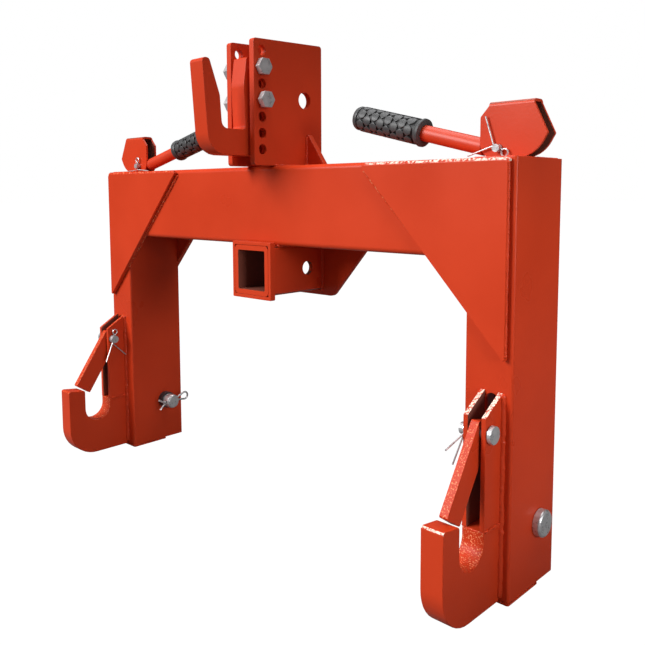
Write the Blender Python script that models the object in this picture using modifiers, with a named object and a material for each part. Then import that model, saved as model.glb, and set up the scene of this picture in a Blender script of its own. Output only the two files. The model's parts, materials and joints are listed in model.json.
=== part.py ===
"""Three point quick hitch, category 1 size: a welded portal frame with two lower hooks, their spring latches,
the cam levers that open them, an adjustable top hook and a 2 in receiver.

Metres, +Z up. X runs along the cross tube, -Y is the implement's side, where the hooks are, and +Y is the
tractor's. The origin is the middle of the bottom of the whole object's box.

Outlines are drawn in leg coordinates: depth behind the front face of the legs, and height above the bottom
edge of their walls. FRONT_Y and BASE_Z bring them to the world.
"""

import math

import bmesh
import bpy
from mathutils import Vector

# Gaps, cuts and facets
GAP = 0.0003
CUT_OVERRUN = 0.004
MERGE = 0.00002
ARC_STEPS = 5
HOLE_STEPS = 20
TURN_STEPS = 24
SMOOTH_ANGLE = math.radians(35)

# Portal frame
HOOK_SPACING = 0.683
HOOK_SIDE_SET = 0.0225
LEG_WIDTH = 0.054
LEG_DEPTH = 0.092
LEG_WALL = 0.005
LEG_CORNER = 0.003
LEG_HEIGHT = 0.441
TUBE_HEIGHT = 0.100
TUBE_WALL = 0.005
TUBE_CORNER = 0.006
CAP_THICKNESS = 0.005
FOOT_THICKNESS = 0.003
FOOT_DEPTH = 0.060

# Corner gussets
GUSSET_THICKNESS = 0.006
GUSSET_RUN = 0.183
GUSSET_OVER_COVER = 0.030
GUSSET_SIDE_SET = 0.0065
GUSSET_TOP_SET = 0.0035
GUSSET_CORNER = 0.004
GUSSET_TIP = 0.0015

# Lower hooks
HOOK_THICKNESS = 0.025
HOOK_REACH = 0.100
HOOK_TIP_HEIGHT = 0.105
HOOK_TIP_SLOPE_DROP = 0.0036
HOOK_HEEL_RADIUS = 0.044
HOOK_EDGE_RADIUS = 0.003
HOOK_SLOT_WIDTH = 0.042
HOOK_SLOT_BOTTOM = 0.0515
HOOK_REAR_HEIGHT = 0.081

# Latch cover plates
COVER_THICKNESS = 0.005
COVER_REACH = 0.031
COVER_FRONT_TOP = 0.1935
COVER_REAR_TOP = 0.2125

# Latch, on its pivot pin
LATCH_THICKNESS = 0.0092
LATCH_PIVOT_REACH = 0.023
LATCH_PIVOT_HEIGHT = 0.1765
LATCH_BAR_ANGLE = math.radians(33.7)
LATCH_BAR_LENGTH = 0.089
LATCH_BAR_WIDTH = 0.0259
LATCH_BAR_FRONT = 0.0124
LATCH_TAIL_ANGLE = math.radians(-12)
LATCH_TAIL_LENGTH = 0.085
LATCH_TAIL_WIDTH = 0.023
LATCH_TAIL_END_WIDTH = 0.020
LATCH_NOSE_RADIUS = 0.002
LATCH_BROW_RADIUS = 0.003
LATCH_TAIL_SLOT_START = 0.0625
LATCH_TAIL_SLOT_END = 0.0735
LATCH_PIN_DIAMETER = 0.012
LATCH_PIN_HEAD = 0.018
LATCH_PIN_HEAD_THICKNESS = 0.004
LATCH_PIN_STANDOUT = 0.0075
LATCH_PIN_PLAY = 0.0011

# Slot in the leg's front wall that the latch's tail passes through
LEG_SLOT_TOP = 0.210

# Pull rod, its stop and the return spring
ROD_SIDE_SET = 0.0159
ROD_DEPTH = 0.041
ROD_DIAMETER = 0.010
ROD_EYE_DIAMETER = 0.016
ROD_FOOT_DIAMETER = 0.008
ROD_END_DROP = 0.006
ROD_END_STANDOUT = 0.005
ROD_HOLE_CLEARANCE = 0.001
TAIL_PIN_CLEARANCE = 0.0012
STOP_DIAMETER = 0.017
STOP_THICKNESS = 0.005
SPRING_LENGTH = 0.090
SPRING_WIRE = 0.0025
SPRING_OUTER = 0.018
SPRING_TURNS = 7
SPRING_STEPS = 12

# Cam lever: a folded bracket, its handle rod and its grip
PIN_HEIGHT_OVER_LEG = 0.010
CAM_WIDTH = 0.0185
CAM_WALL = 0.003
CAM_BEND = 0.0045
CAM_TOP = 0.0465
CAM_INNER_TOP = -0.0118
CAM_OUTER_TOP = 0.0375
CAM_TOP_STEP = 0.004
CAM_INNER_SHOULDER = 0.032
CAM_INNER_REACH = 0.0215
CAM_INNER_RADIUS = 0.015
CAM_OUTER_REACH = 0.052
CAM_OUTER_HEIGHT = 0.013
CAM_OUTER_RADIUS = 0.030
CAM_NOSE_RADIUS = 0.002
CAM_UNDERCUT_ANGLE = math.radians(30)
HANDLE_DIAMETER = 0.018
HANDLE_SLOPE = math.radians(13.8)
HANDLE_START_HEIGHT = 0.0025
HANDLE_LENGTH = 0.1715
GRIP_LENGTH = 0.0985
GRIP_DIAMETER = 0.0285
GRIP_END_WALL = 0.004
GRIP_FLANGE_DIAMETER = 0.0315
GRIP_FLANGE_THICKNESS = 0.005
GRIP_ROUNDING = 0.004
LEVER_PIN_DIAMETER = 0.008
LEVER_PIN_HEAD = 0.013
LEVER_PIN_HEAD_THICKNESS = 0.003
LEVER_PIN_STANDOUT = 0.0065

# Split pins, of doubled wire
CLIP_WIRE = 0.0018
CLIP_LOOP = 0.0038
CLIP_LOOP_REACH = 0.0038
LATCH_CLIP_LEG = 0.030
LEVER_CLIP_LEG = 0.030
CLIP_HOLE_CLEARANCE = 0.0004
CLIP_SET = 0.0025
CLIP_SIDES = 2

# Lower link pins
LINK_PIN_DEPTH = 0.0593
LINK_PIN_HEIGHT = 0.0655
LINK_PIN_DIAMETER = 0.022
LINK_PIN_HEAD = 0.029
LINK_PIN_HEAD_THICKNESS = 0.009
LINK_PIN_STANDOUT = 0.026
LINK_PIN_CHAMFER = 0.002
LINK_BOSS_DIAMETER = 0.026
LINK_BOSS_LENGTH = 0.011
LINK_CLIP_WIRE = 0.003
LINK_CLIP_LOOP = 0.006
LINK_CLIP_LOOP_REACH = 0.013
LINK_CLIP_LEG = 0.011
LINK_CLIP_SET = 0.0075

# Mast: two plates, the top hook and its bolts
MAST_WIDTH = 0.051
MAST_WALL = 0.008
MAST_FRONT = 0.029
MAST_REAR = 0.0895
MAST_REAR_RISE = 0.005
MAST_CORNER = 0.004
MAST_HOLE_COUNT = 7
MAST_HOLE_PITCH = 0.020
MAST_HOLE_FIRST = 0.0195
MAST_OVER_HOLES = 0.0135
MAST_HOLE_FRONT = 0.0157
MAST_HOLE_DIAMETER = 0.0126
TOP_LINK_DEPTH = 0.058
TOP_LINK_HEIGHT = 0.085
TOP_LINK_DIAMETER = 0.0215
MAST_GUSSET_DEPTH = 0.061
MAST_GUSSET_THICKNESS = 0.008
MAST_GUSSET_HEIGHT = 0.041
MAST_GUSSET_RUN = 0.030
MAST_GUSSET_CORNER = 0.006
TOP_HOOK_THICKNESS = 0.024
TOP_HOOK_REACH = 0.0961
TOP_HOOK_HEEL_REACH = 0.0878
TOP_HOOK_BOTTOM = 0.012
TOP_HOOK_TIP = 0.1235
TOP_HOOK_TIP_WIDTH = 0.0105
TOP_HOOK_PRONG_REAR = 0.0705
TOP_HOOK_PRONG_FOOT = 0.0678
TOP_HOOK_KNEE = 0.082
TOP_HOOK_KNEE_RADIUS = 0.017
TOP_HOOK_HEEL_RADIUS = 0.027
TOP_HOOK_SLOT_BOTTOM = 0.0435
TOP_HOOK_SLOT_RADIUS = 0.009
TOP_HOOK_THROAT_RADIUS = 0.005
TOP_HOOK_SHANK_FRONT = 0.031
TOP_HOOK_SHANK_BULGE = 0.0335
TOP_HOOK_BULGE_HEIGHT = 0.0975
TOP_HOOK_BULGE_RADIUS = 0.034
TOP_HOOK_SHANK_TOP_FRONT = 0.0285
TOP_HOOK_SHANK_REAR = 0.002
TOP_HOOK_OVER_BOLT = 0.012
TOP_HOOK_SHANK_CORNER = 0.002
BOLT_DIAMETER = 0.012
BOLT_ACROSS_FLATS = 0.019
BOLT_HEAD_THICKNESS = 0.0075
BOLT_END = 0.015
BOLT_ROWS = (1, 3)
LOWER_BOLT_SLACK = 0.004
NUT_THICKNESS = 0.0105

# Receiver under the cross tube
RECEIVER_BORE = 0.0508
RECEIVER_WALL = 0.00635
RECEIVER_FRONT = 0.015
RECEIVER_CORNER = 0.0055
RECEIVER_BORE_CORNER = 0.0015
RECEIVER_PIN_DIAMETER = 0.018
RECEIVER_PIN_DEPTH = 0.0555
COLLAR_WALL = 0.0045
COLLAR_THICKNESS = 0.008
COLLAR_CORNER = 0.0015
BACK_PLATE_THICKNESS = 0.006
BACK_PLATE_REAR_SET = 0.0025
BACK_PLATE_BOTTOM_HALF = 0.0514
BACK_PLATE_TOP_HALF = 0.114
BACK_PLATE_BELOW = 0.0072
BACK_PLATE_CORNER = 0.012

# Places worked out from the sizes above
BASE_Z = FOOT_THICKNESS
MAST_HEIGHT = MAST_HOLE_FIRST + MAST_HOLE_PITCH * (MAST_HOLE_COUNT - 1) + MAST_OVER_HOLES
REAR_REACH = LEG_DEPTH + GAP + GUSSET_THICKNESS
FRONT_Y = (HOOK_REACH - REAR_REACH) / 2
HOOK_X = HOOK_SPACING / 2
HALF_WIDTH = HOOK_X + HOOK_SIDE_SET
ROD_X = HOOK_X - ROD_SIDE_SET
LEG_INNER = HALF_WIDTH - LEG_WIDTH
GUSSET_DROP = LEG_HEIGHT - GUSSET_TOP_SET - COVER_REAR_TOP - GUSSET_OVER_COVER
LEG_MIDDLE = HALF_WIDTH - LEG_WIDTH / 2
RECEIVER_HALF = RECEIVER_BORE / 2 + RECEIVER_WALL
RECEIVER_MIDDLE = LEG_HEIGHT - TUBE_HEIGHT - GAP - RECEIVER_HALF
LEVER_PIN_HEIGHT = LEG_HEIGHT + PIN_HEIGHT_OVER_LEG
ROD_FOOT_HEIGHT = LATCH_PIVOT_HEIGHT + (LATCH_PIVOT_REACH + ROD_DEPTH) * math.tan(LATCH_TAIL_ANGLE)
SPRING_TOP = LEG_HEIGHT - CAP_THICKNESS - GAP
SIDES = (("left", -1), ("right", 1))

# Which way a flat piece faces: out of a front view, out of a side view, or up
FRONT_VIEW = (math.pi / 2, 0, 0)
SIDE_VIEW = (math.pi / 2, 0, math.pi / 2)
PLAN_VIEW = (0, 0, 0)

# Which way a turned piece points
TO_RIGHT = (0, math.pi / 2, 0)
TO_LEFT = (0, -math.pi / 2, 0)
TO_FRONT = (math.pi / 2, 0, 0)
UPWARD = (0, 0, 0)


def clear_scene():
    for obj in list(bpy.data.objects):
        bpy.data.objects.remove(obj, do_unlink=True)


def new_collection(name):
    collection = bpy.data.collections.new(name)
    bpy.context.scene.collection.children.link(collection)
    return collection


clear_scene()
HITCH = new_collection("three_point_quick_hitch")
CUTTERS = new_collection("cutters")


def principled(name, colour, roughness, metallic):
    material = bpy.data.materials.new(name)
    material.use_nodes = True
    shader = material.node_tree.nodes["Principled BSDF"]
    shader.inputs["Base Color"].default_value = (*colour, 1)
    shader.inputs["Roughness"].default_value = roughness
    shader.inputs["Metallic"].default_value = metallic
    return material


PAINT = principled("orange_red_paint", (0.66, 0.075, 0.024), 0.42, 0)
ZINC = principled("zinc_plate", (0.62, 0.62, 0.63), 0.32, 1)
RUBBER = principled("dark_rubber", (0.045, 0.046, 0.048), 0.62, 0)
SPRING_STEEL = principled("spring_steel", (0.32, 0.32, 0.34), 0.35, 1)


def outline(corners, steps=ARC_STEPS):
    """A closed outline through corners (x, y, radius), each rounded to its radius."""
    points = []
    for index, (x, y, radius) in enumerate(corners):
        corner = Vector((x, y))
        if not radius:
            points.append((x, y))
            continue
        to_last = (Vector(corners[index - 1][:2]) - corner).normalized()
        to_next = (Vector(corners[(index + 1) % len(corners)][:2]) - corner).normalized()
        half_angle = to_last.angle(to_next) / 2
        centre = corner + (to_last + to_next).normalized() * radius / math.sin(half_angle)
        start = corner + to_last * radius / math.tan(half_angle) - centre
        end = corner + to_next * radius / math.tan(half_angle) - centre
        first = math.atan2(start.y, start.x)
        turn = (math.atan2(end.y, end.x) - first + math.pi) % (2 * math.pi) - math.pi
        for step in range(steps + 1):
            angle = first + turn * step / steps
            points.append((centre.x + radius * math.cos(angle), centre.y + radius * math.sin(angle)))
    return points


def circle(x, y, diameter, steps=HOLE_STEPS):
    turn = 2 * math.pi / steps
    return [
        (x + diameter / 2 * math.cos(turn * step), y + diameter / 2 * math.sin(turn * step))
        for step in range(steps)
    ]


def stadium(start, end, width, steps=HOLE_STEPS // 2):
    """A slot with round ends, between the centres of its two ends."""
    start, end = Vector(start), Vector(end)
    heading = math.atan2(end.y - start.y, end.x - start.x)
    points = []
    for centre, first in ((end, heading - math.pi / 2), (start, heading + math.pi / 2)):
        for step in range(steps + 1):
            angle = first + math.pi * step / steps
            points.append((centre.x + width / 2 * math.cos(angle), centre.y + width / 2 * math.sin(angle)))
    return points


def rectangle(half_width, half_height, radius, x=0, y=0):
    return outline(
        [
            (x - half_width, y - half_height, radius),
            (x + half_width, y - half_height, radius),
            (x + half_width, y + half_height, radius),
            (x - half_width, y + half_height, radius),
        ]
    )


def place(obj, location, rotation, parent):
    obj.location = location
    obj.rotation_euler = rotation
    if parent:
        obj.location = Vector(location) - parent.location
        obj.parent = parent


def smooth(mesh):
    mesh.shade_smooth()
    mesh.set_sharp_from_angle(angle=SMOOTH_ANGLE)


def mesh_of(curve_object):
    """The mesh of a curve object, with its caps welded on. The curve object is removed."""
    bpy.context.view_layer.update()
    graph = bpy.context.evaluated_depsgraph_get()
    mesh = bpy.data.meshes.new_from_object(curve_object.evaluated_get(graph))
    shape = bmesh.new()
    shape.from_mesh(mesh)
    bmesh.ops.remove_doubles(shape, verts=shape.verts, dist=MERGE)
    bmesh.ops.recalc_face_normals(shape, faces=shape.faces)
    shape.to_mesh(mesh)
    shape.free()
    smooth(mesh)
    bpy.data.objects.remove(curve_object, do_unlink=True)
    return mesh


def finished(name, mesh, location, rotation, material, parent):
    obj = bpy.data.objects.new(name, mesh)
    collection = HITCH if material else CUTTERS
    collection.objects.link(obj)
    if material:
        mesh.materials.clear()
        mesh.materials.append(material)
    else:
        obj.hide_render = True
        obj.display_type = "WIRE"
    place(obj, location, rotation, parent)
    return obj


def plate(name, loops, thickness, location, facing, material=None, parent=None):
    """A flat piece: its first loop is its edge, the others are holes. Without a material it's a cutter."""
    curve = bpy.data.curves.new(name, "CURVE")
    curve.dimensions = "2D"
    curve.fill_mode = "BOTH"
    curve.extrude = thickness / 2
    for loop in loops:
        spline = curve.splines.new("POLY")
        spline.points.add(len(loop) - 1)
        for point, (x, y) in zip(spline.points, loop):
            point.co = (x, y, 0, 1)
        spline.use_cyclic_u = True
    flat = bpy.data.objects.new(name, curve)
    HITCH.objects.link(flat)
    return finished(name, mesh_of(flat), location, facing, material, parent)


def wire(name, points, diameter, location, rotation, material, parent=None, resolution=CLIP_SIDES):
    """A round wire with closed ends, through its points."""
    curve = bpy.data.curves.new(name, "CURVE")
    curve.dimensions = "3D"
    curve.bevel_depth = diameter / 2
    curve.bevel_resolution = resolution
    curve.use_fill_caps = True
    spline = curve.splines.new("POLY")
    spline.points.add(len(points) - 1)
    for point, place_ in zip(spline.points, points):
        point.co = (*place_, 1)
    line = bpy.data.objects.new(name, curve)
    HITCH.objects.link(line)
    return finished(name, mesh_of(line), location, rotation, material, parent)


def turned(name, profile, location, rotation, material=None, parent=None, ring=False, steps=TURN_STEPS):
    """A round piece, from its profile (radius, height) down its outer side. A ring's profile is a loop."""
    mesh = bpy.data.meshes.new(name)
    count = len(profile)
    edges = [(index, index + 1) for index in range(count - 1)] + ([(count - 1, 0)] if ring else [])
    mesh.from_pydata([(radius, 0, height) for radius, height in profile], edges, [])
    obj = finished(name, mesh, location, rotation, material, parent)
    screw = obj.modifiers.new("turn", "SCREW")
    screw.steps = steps
    screw.render_steps = steps
    screw.use_merge_vertices = True
    screw.merge_threshold = MERGE
    screw.use_smooth_shade = True
    return obj


def combine(obj, other, operation):
    modifier = obj.modifiers.new(other.name, "BOOLEAN")
    modifier.operation = operation
    modifier.object = other
    modifier.solver = "EXACT"


def round_bar(name, diameter, bottom, top, location, rotation, material=None, parent=None):
    radius = diameter / 2
    profile = [(0, top), (radius, top), (radius, bottom), (0, bottom)]
    return turned(name, profile, location, rotation, material, parent)


def axis_empty(name, location):
    empty = bpy.data.objects.new(name, None)
    HITCH.objects.link(empty)
    empty.location = location
    return empty


def world(x, depth, height):
    """A world place, from leg coordinates."""
    return Vector((x, FRONT_Y + depth, BASE_Z + height))


def make_cross_tube():
    middle = world(0, LEG_DEPTH / 2, LEG_HEIGHT - TUBE_HEIGHT / 2)
    outer = rectangle(LEG_DEPTH / 2, TUBE_HEIGHT / 2, TUBE_CORNER)
    inner = rectangle(LEG_DEPTH / 2 - TUBE_WALL, TUBE_HEIGHT / 2 - TUBE_WALL, TUBE_CORNER - TUBE_WALL)
    plate("cross_tube", [outer, inner], 2 * (LEG_INNER - GAP), middle, SIDE_VIEW, PAINT)


def make_leg(side, sign):
    """A channel of plate, open towards the tractor, with holes for the link pin and the latch's tail."""
    half = LEG_WIDTH / 2
    channel = outline(
        [
            (-half, LEG_DEPTH, 0),
            (-half, 0, LEG_CORNER),
            (half, 0, LEG_CORNER),
            (half, LEG_DEPTH, 0),
            (half - LEG_WALL, LEG_DEPTH, 0),
            (half - LEG_WALL, LEG_WALL, 0),
            (-half + LEG_WALL, LEG_WALL, 0),
            (-half + LEG_WALL, LEG_DEPTH, 0),
        ]
    )
    place_ = world(sign * LEG_MIDDLE, 0, LEG_HEIGHT / 2)
    leg = plate(f"leg_{side}", [channel], LEG_HEIGHT, place_, PLAN_VIEW, PAINT)
    bore = round_bar(
        f"cut_link_bore_{side}",
        LINK_PIN_DIAMETER + 2 * GAP,
        -half - CUT_OVERRUN,
        half + CUT_OVERRUN,
        world(sign * LEG_MIDDLE, LINK_PIN_DEPTH, LINK_PIN_HEIGHT),
        TO_RIGHT,
    )
    slot_width = HOOK_THICKNESS - 2 * COVER_THICKNESS - 2 * GAP
    slot = plate(
        f"cut_tail_slot_{side}",
        [
            stadium(
                (0, HOOK_REAR_HEIGHT),
                (0, LEG_SLOT_TOP - slot_width / 2),
                slot_width,
            )
        ],
        LEG_WALL + 2 * CUT_OVERRUN,
        world(sign * HOOK_X, LEG_WALL / 2, 0),
        FRONT_VIEW,
    )
    combine(leg, bore, "DIFFERENCE")
    combine(leg, slot, "DIFFERENCE")


def make_leg_ends(side, sign):
    """The cap that closes the leg's top, which guides the pull rod, and the plate under its front."""
    half = LEG_WIDTH / 2 - LEG_WALL - GAP
    front, rear = LEG_WALL + GAP, LEG_DEPTH
    offset = sign * (ROD_X - LEG_MIDDLE)
    edge = [(-half, front), (half, front), (half, rear), (-half, rear)]
    hole = circle(offset, ROD_DEPTH, ROD_DIAMETER + 2 * ROD_HOLE_CLEARANCE)
    place_ = world(sign * LEG_MIDDLE, 0, LEG_HEIGHT - CAP_THICKNESS / 2)
    plate(f"leg_cap_{side}", [edge, hole], CAP_THICKNESS, place_, PLAN_VIEW, PAINT)
    half = LEG_WIDTH / 2
    front_corners = [(-half, 0, LEG_CORNER), (half, 0, LEG_CORNER)]
    foot = outline(front_corners + [(half, FOOT_DEPTH, 0), (-half, FOOT_DEPTH, 0)])
    height = -GAP - (FOOT_THICKNESS - GAP) / 2
    place_ = world(sign * LEG_MIDDLE, 0, height)
    plate(f"foot_plate_{side}", [foot], FOOT_THICKNESS - GAP, place_, PLAN_VIEW, PAINT)


def make_gussets(side, sign):
    """The corner plates on the front and the rear faces of the tube and the leg."""
    outer = HALF_WIDTH - GUSSET_SIDE_SET
    top = LEG_HEIGHT - GUSSET_TOP_SET
    edge = outline(
        [
            (sign * outer, top, GUSSET_CORNER),
            (sign * (outer - GUSSET_RUN), top, GUSSET_TIP),
            (sign * outer, top - GUSSET_DROP, GUSSET_TIP),
        ]
    )
    offset = GAP + GUSSET_THICKNESS / 2
    for name, depth in (("front", -offset), ("rear", LEG_DEPTH + offset)):
        plate(f"{name}_gusset_{side}", [edge], GUSSET_THICKNESS, world(0, depth, 0), FRONT_VIEW, PAINT)


def make_lower_hook(side, sign):
    slot_rear = COVER_REACH
    slot_front = COVER_REACH + HOOK_SLOT_WIDTH
    slot_radius = HOOK_SLOT_WIDTH / 2
    edge = outline(
        [
            (-GAP, 0, 0),
            (-HOOK_REACH, 0, HOOK_HEEL_RADIUS),
            (-HOOK_REACH, HOOK_TIP_HEIGHT, HOOK_EDGE_RADIUS),
            (-slot_front, HOOK_TIP_HEIGHT - HOOK_TIP_SLOPE_DROP, HOOK_EDGE_RADIUS),
            (-slot_front, HOOK_SLOT_BOTTOM, slot_radius - GAP),
            (-slot_rear, HOOK_SLOT_BOTTOM, slot_radius - GAP),
            (-slot_rear, HOOK_REAR_HEIGHT, 0),
            (-GAP, HOOK_REAR_HEIGHT, 0),
        ],
        steps=2 * ARC_STEPS,
    )
    place_ = world(sign * HOOK_X, 0, 0)
    plate(f"lower_hook_{side}", [edge], HOOK_THICKNESS, place_, SIDE_VIEW, PAINT)


def make_latch_covers(side, sign):
    bottom = HOOK_REAR_HEIGHT + GAP
    edge = [
        (-GAP, bottom),
        (-COVER_REACH, bottom),
        (-COVER_REACH, COVER_FRONT_TOP),
        (-GAP, COVER_REAR_TOP),
    ]
    hole = circle(-LATCH_PIVOT_REACH, LATCH_PIVOT_HEIGHT, LATCH_PIN_DIAMETER + 2 * GAP)
    offset = (HOOK_THICKNESS - COVER_THICKNESS) / 2
    for name, shift in (("inner", -offset), ("outer", offset)):
        place_ = world(sign * (HOOK_X + shift), 0, 0)
        plate(f"latch_cover_{name}_{side}", [edge, hole], COVER_THICKNESS, place_, SIDE_VIEW, PAINT)


def along(direction, distance, aside=0):
    """A place at a distance in a direction, and aside to its left."""
    return (
        distance * math.cos(direction) - aside * math.sin(direction),
        distance * math.sin(direction) + aside * math.cos(direction),
    )


def latch_outline():
    """The latch from the side, about its pivot: the bar that shuts the hook, and the tail in the leg."""
    bar = -math.pi / 2 - LATCH_BAR_ANGLE
    tail = LATCH_TAIL_ANGLE
    rear = LATCH_BAR_WIDTH - LATCH_BAR_FRONT
    inner_angle = tail - bar
    under = LATCH_TAIL_WIDTH / 2
    elbow = (rear * math.cos(inner_angle) + under) / math.sin(inner_angle)
    brow = (LATCH_BAR_FRONT * math.cos(inner_angle) + under) / math.sin(inner_angle)
    return [
        (*along(bar, LATCH_BAR_LENGTH, -LATCH_BAR_FRONT), LATCH_NOSE_RADIUS),
        (*along(bar, -brow, -LATCH_BAR_FRONT), LATCH_BROW_RADIUS),
        (*along(tail, LATCH_TAIL_LENGTH, LATCH_TAIL_END_WIDTH / 2), LATCH_TAIL_END_WIDTH / 3),
        (*along(tail, LATCH_TAIL_LENGTH, -LATCH_TAIL_END_WIDTH / 2), LATCH_TAIL_END_WIDTH / 3),
        (*along(bar, elbow, rear), LATCH_NOSE_RADIUS),
        (*along(bar, LATCH_BAR_LENGTH, rear), LATCH_NOSE_RADIUS),
    ]


def make_latch(side, sign):
    place_ = world(sign * HOOK_X, -LATCH_PIVOT_REACH, LATCH_PIVOT_HEIGHT)
    slot_width = ROD_FOOT_DIAMETER + 2 * TAIL_PIN_CLEARANCE
    loops = [
        outline(latch_outline()),
        circle(0, 0, LATCH_PIN_DIAMETER + 2 * GAP),
        stadium(
            along(LATCH_TAIL_ANGLE, LATCH_TAIL_SLOT_START),
            along(LATCH_TAIL_ANGLE, LATCH_TAIL_SLOT_END),
            slot_width,
        ),
    ]
    plate(f"latch_{side}", loops, LATCH_THICKNESS, place_, SIDE_VIEW, PAINT)


def split_pin_path(loop_angle, leg_angles, pin_diameter, wire_size, loop_radius, loop_reach, leg_length):
    """A split pin's middle line, across its pin: in through the hole, round the eye and out again."""
    inset = wire_size / 2 + CLIP_HOLE_CLEARANCE / 4
    reach = pin_diameter / 2 + wire_size
    eye = reach + loop_reach
    first = math.pi - max(math.acos(min(loop_radius / loop_reach, 1)), math.asin(min(inset / loop_radius, 1)))
    points = []
    leg = along(leg_angles[0], leg_length)
    corner = Vector(along(loop_angle, -reach, inset))
    points.append(corner + Vector(leg))
    points.append(corner)
    points.append(Vector(along(loop_angle, pin_diameter / 2, inset)))
    for step in range(2 * ARC_STEPS + 1):
        angle = first - 2 * first * step / (2 * ARC_STEPS)
        x, y = eye + loop_radius * math.cos(angle), loop_radius * math.sin(angle)
        points.append(Vector(along(loop_angle, x, y)))
    points.append(Vector(along(loop_angle, pin_diameter / 2, -inset)))
    corner = Vector(along(loop_angle, -reach, -inset))
    points.append(corner)
    points.append(corner + Vector(along(leg_angles[1], leg_length)))
    return [(point.x, point.y, 0) for point in points]


def make_split_pin(name, place_, facing, loop_angle, leg_angles, sizes, parent=None):
    path = split_pin_path(loop_angle, leg_angles, *sizes)
    wire(name, path, sizes[1], place_, facing, ZINC, parent)


def drill_for_clip(pin, name, place_, heading, pin_diameter, wire_size, parent=None):
    """The cross hole of a pin, wide enough for a split pin's doubled wire."""
    reach = pin_diameter / 2 + CUT_OVERRUN
    width = 2 * wire_size + CLIP_HOLE_CLEARANCE + 2 * GAP
    drill = round_bar(name, width, -reach, reach, place_, heading, parent=parent)
    combine(pin, drill, "DIFFERENCE")


def make_latch_pin(side, sign, loop_angle, leg_angles):
    """The latch's pivot pin, its head on the outer cover and its split pin on the inner one.

    The right pin lies as far out as its split pin lets it.
    """
    radius = LATCH_PIN_DIAMETER / 2
    half = HOOK_THICKNESS / 2 + GAP
    head = half + LATCH_PIN_HEAD_THICKNESS
    end = -half - LATCH_PIN_STANDOUT
    head_radius = LATCH_PIN_HEAD / 2
    profile = [(0, head), (head_radius, head), (head_radius, half), (radius, half), (radius, end), (0, end)]
    play = LATCH_PIN_PLAY if sign > 0 else 0
    place_ = world(sign * HOOK_X + play, -LATCH_PIVOT_REACH, LATCH_PIVOT_HEIGHT)
    pin = turned(f"latch_pin_{side}", profile, place_, TO_RIGHT if sign > 0 else TO_LEFT, ZINC)
    clip_x = sign * (HOOK_X - half - CLIP_SET) + play
    clip_place = world(clip_x, -LATCH_PIVOT_REACH, LATCH_PIVOT_HEIGHT)
    drill_for_clip(
        pin,
        f"cut_latch_pin_{side}",
        clip_place,
        (loop_angle - math.pi / 2, 0, 0),
        LATCH_PIN_DIAMETER,
        CLIP_WIRE,
    )
    sizes = (LATCH_PIN_DIAMETER, CLIP_WIRE, CLIP_LOOP, CLIP_LOOP_REACH, LATCH_CLIP_LEG)
    make_split_pin(f"latch_pin_clip_{side}", clip_place, SIDE_VIEW, loop_angle, leg_angles, sizes)


def make_pull_rod(side, sign):
    """The rod inside the leg: an eye on the lever's pin, and a foot bent through the latch's tail."""
    top = LEVER_PIN_HEIGHT
    radius = ROD_DIAMETER / 2
    place_ = world(sign * ROD_X, ROD_DEPTH, top)
    drop = top - ROD_FOOT_HEIGHT
    rod = round_bar(f"pull_rod_{side}", ROD_DIAMETER, -drop - ROD_END_DROP, 0, place_, UPWARD, PAINT)
    eye_half = CAM_WIDTH / 2 - CAM_WALL - 2 * GAP
    eye = round_bar(f"rod_eye_{side}", ROD_EYE_DIAMETER, -eye_half, eye_half, place_, TO_FRONT)
    foot_end = HOOK_X + LATCH_THICKNESS / 2 + ROD_END_STANDOUT - ROD_X
    foot_place = world(sign * ROD_X, ROD_DEPTH, ROD_FOOT_HEIGHT)
    heading = TO_RIGHT if sign > 0 else TO_LEFT
    foot = round_bar(f"rod_foot_{side}", ROD_FOOT_DIAMETER, -radius, foot_end, foot_place, heading)
    hole = round_bar(
        f"cut_rod_eye_{side}",
        LEVER_PIN_DIAMETER + 2 * GAP,
        -eye_half - CUT_OVERRUN,
        eye_half + CUT_OVERRUN,
        place_,
        TO_FRONT,
    )
    combine(rod, eye, "UNION")
    combine(rod, foot, "UNION")
    combine(rod, hole, "DIFFERENCE")


def make_return_spring(side, sign):
    """The spring that draws the rod down, coiled round it between the leg's cap and the stop on the rod."""
    outer, inner = STOP_DIAMETER / 2, ROD_DIAMETER / 2 + GAP
    stop_top = SPRING_TOP - SPRING_LENGTH - GAP
    stop_bottom = stop_top - STOP_THICKNESS
    ring = [(outer, stop_top), (outer, stop_bottom), (inner, stop_bottom), (inner, stop_top)]
    turned(f"spring_stop_{side}", ring, world(sign * ROD_X, ROD_DEPTH, 0), UPWARD, ZINC, ring=True)
    radius = (SPRING_OUTER - SPRING_WIRE) / 2
    rise = SPRING_LENGTH - SPRING_WIRE
    count = SPRING_TURNS * SPRING_STEPS
    points = []
    for step in range(count + 1):
        angle = 2 * math.pi * step / SPRING_STEPS
        share = step / count
        points.append((radius * math.cos(angle), radius * math.sin(angle), SPRING_WIRE / 2 + rise * share))
    place_ = world(sign * ROD_X, ROD_DEPTH, SPRING_TOP - SPRING_LENGTH)
    wire(f"return_spring_{side}", points, SPRING_WIRE, place_, UPWARD, SPRING_STEEL)


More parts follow.
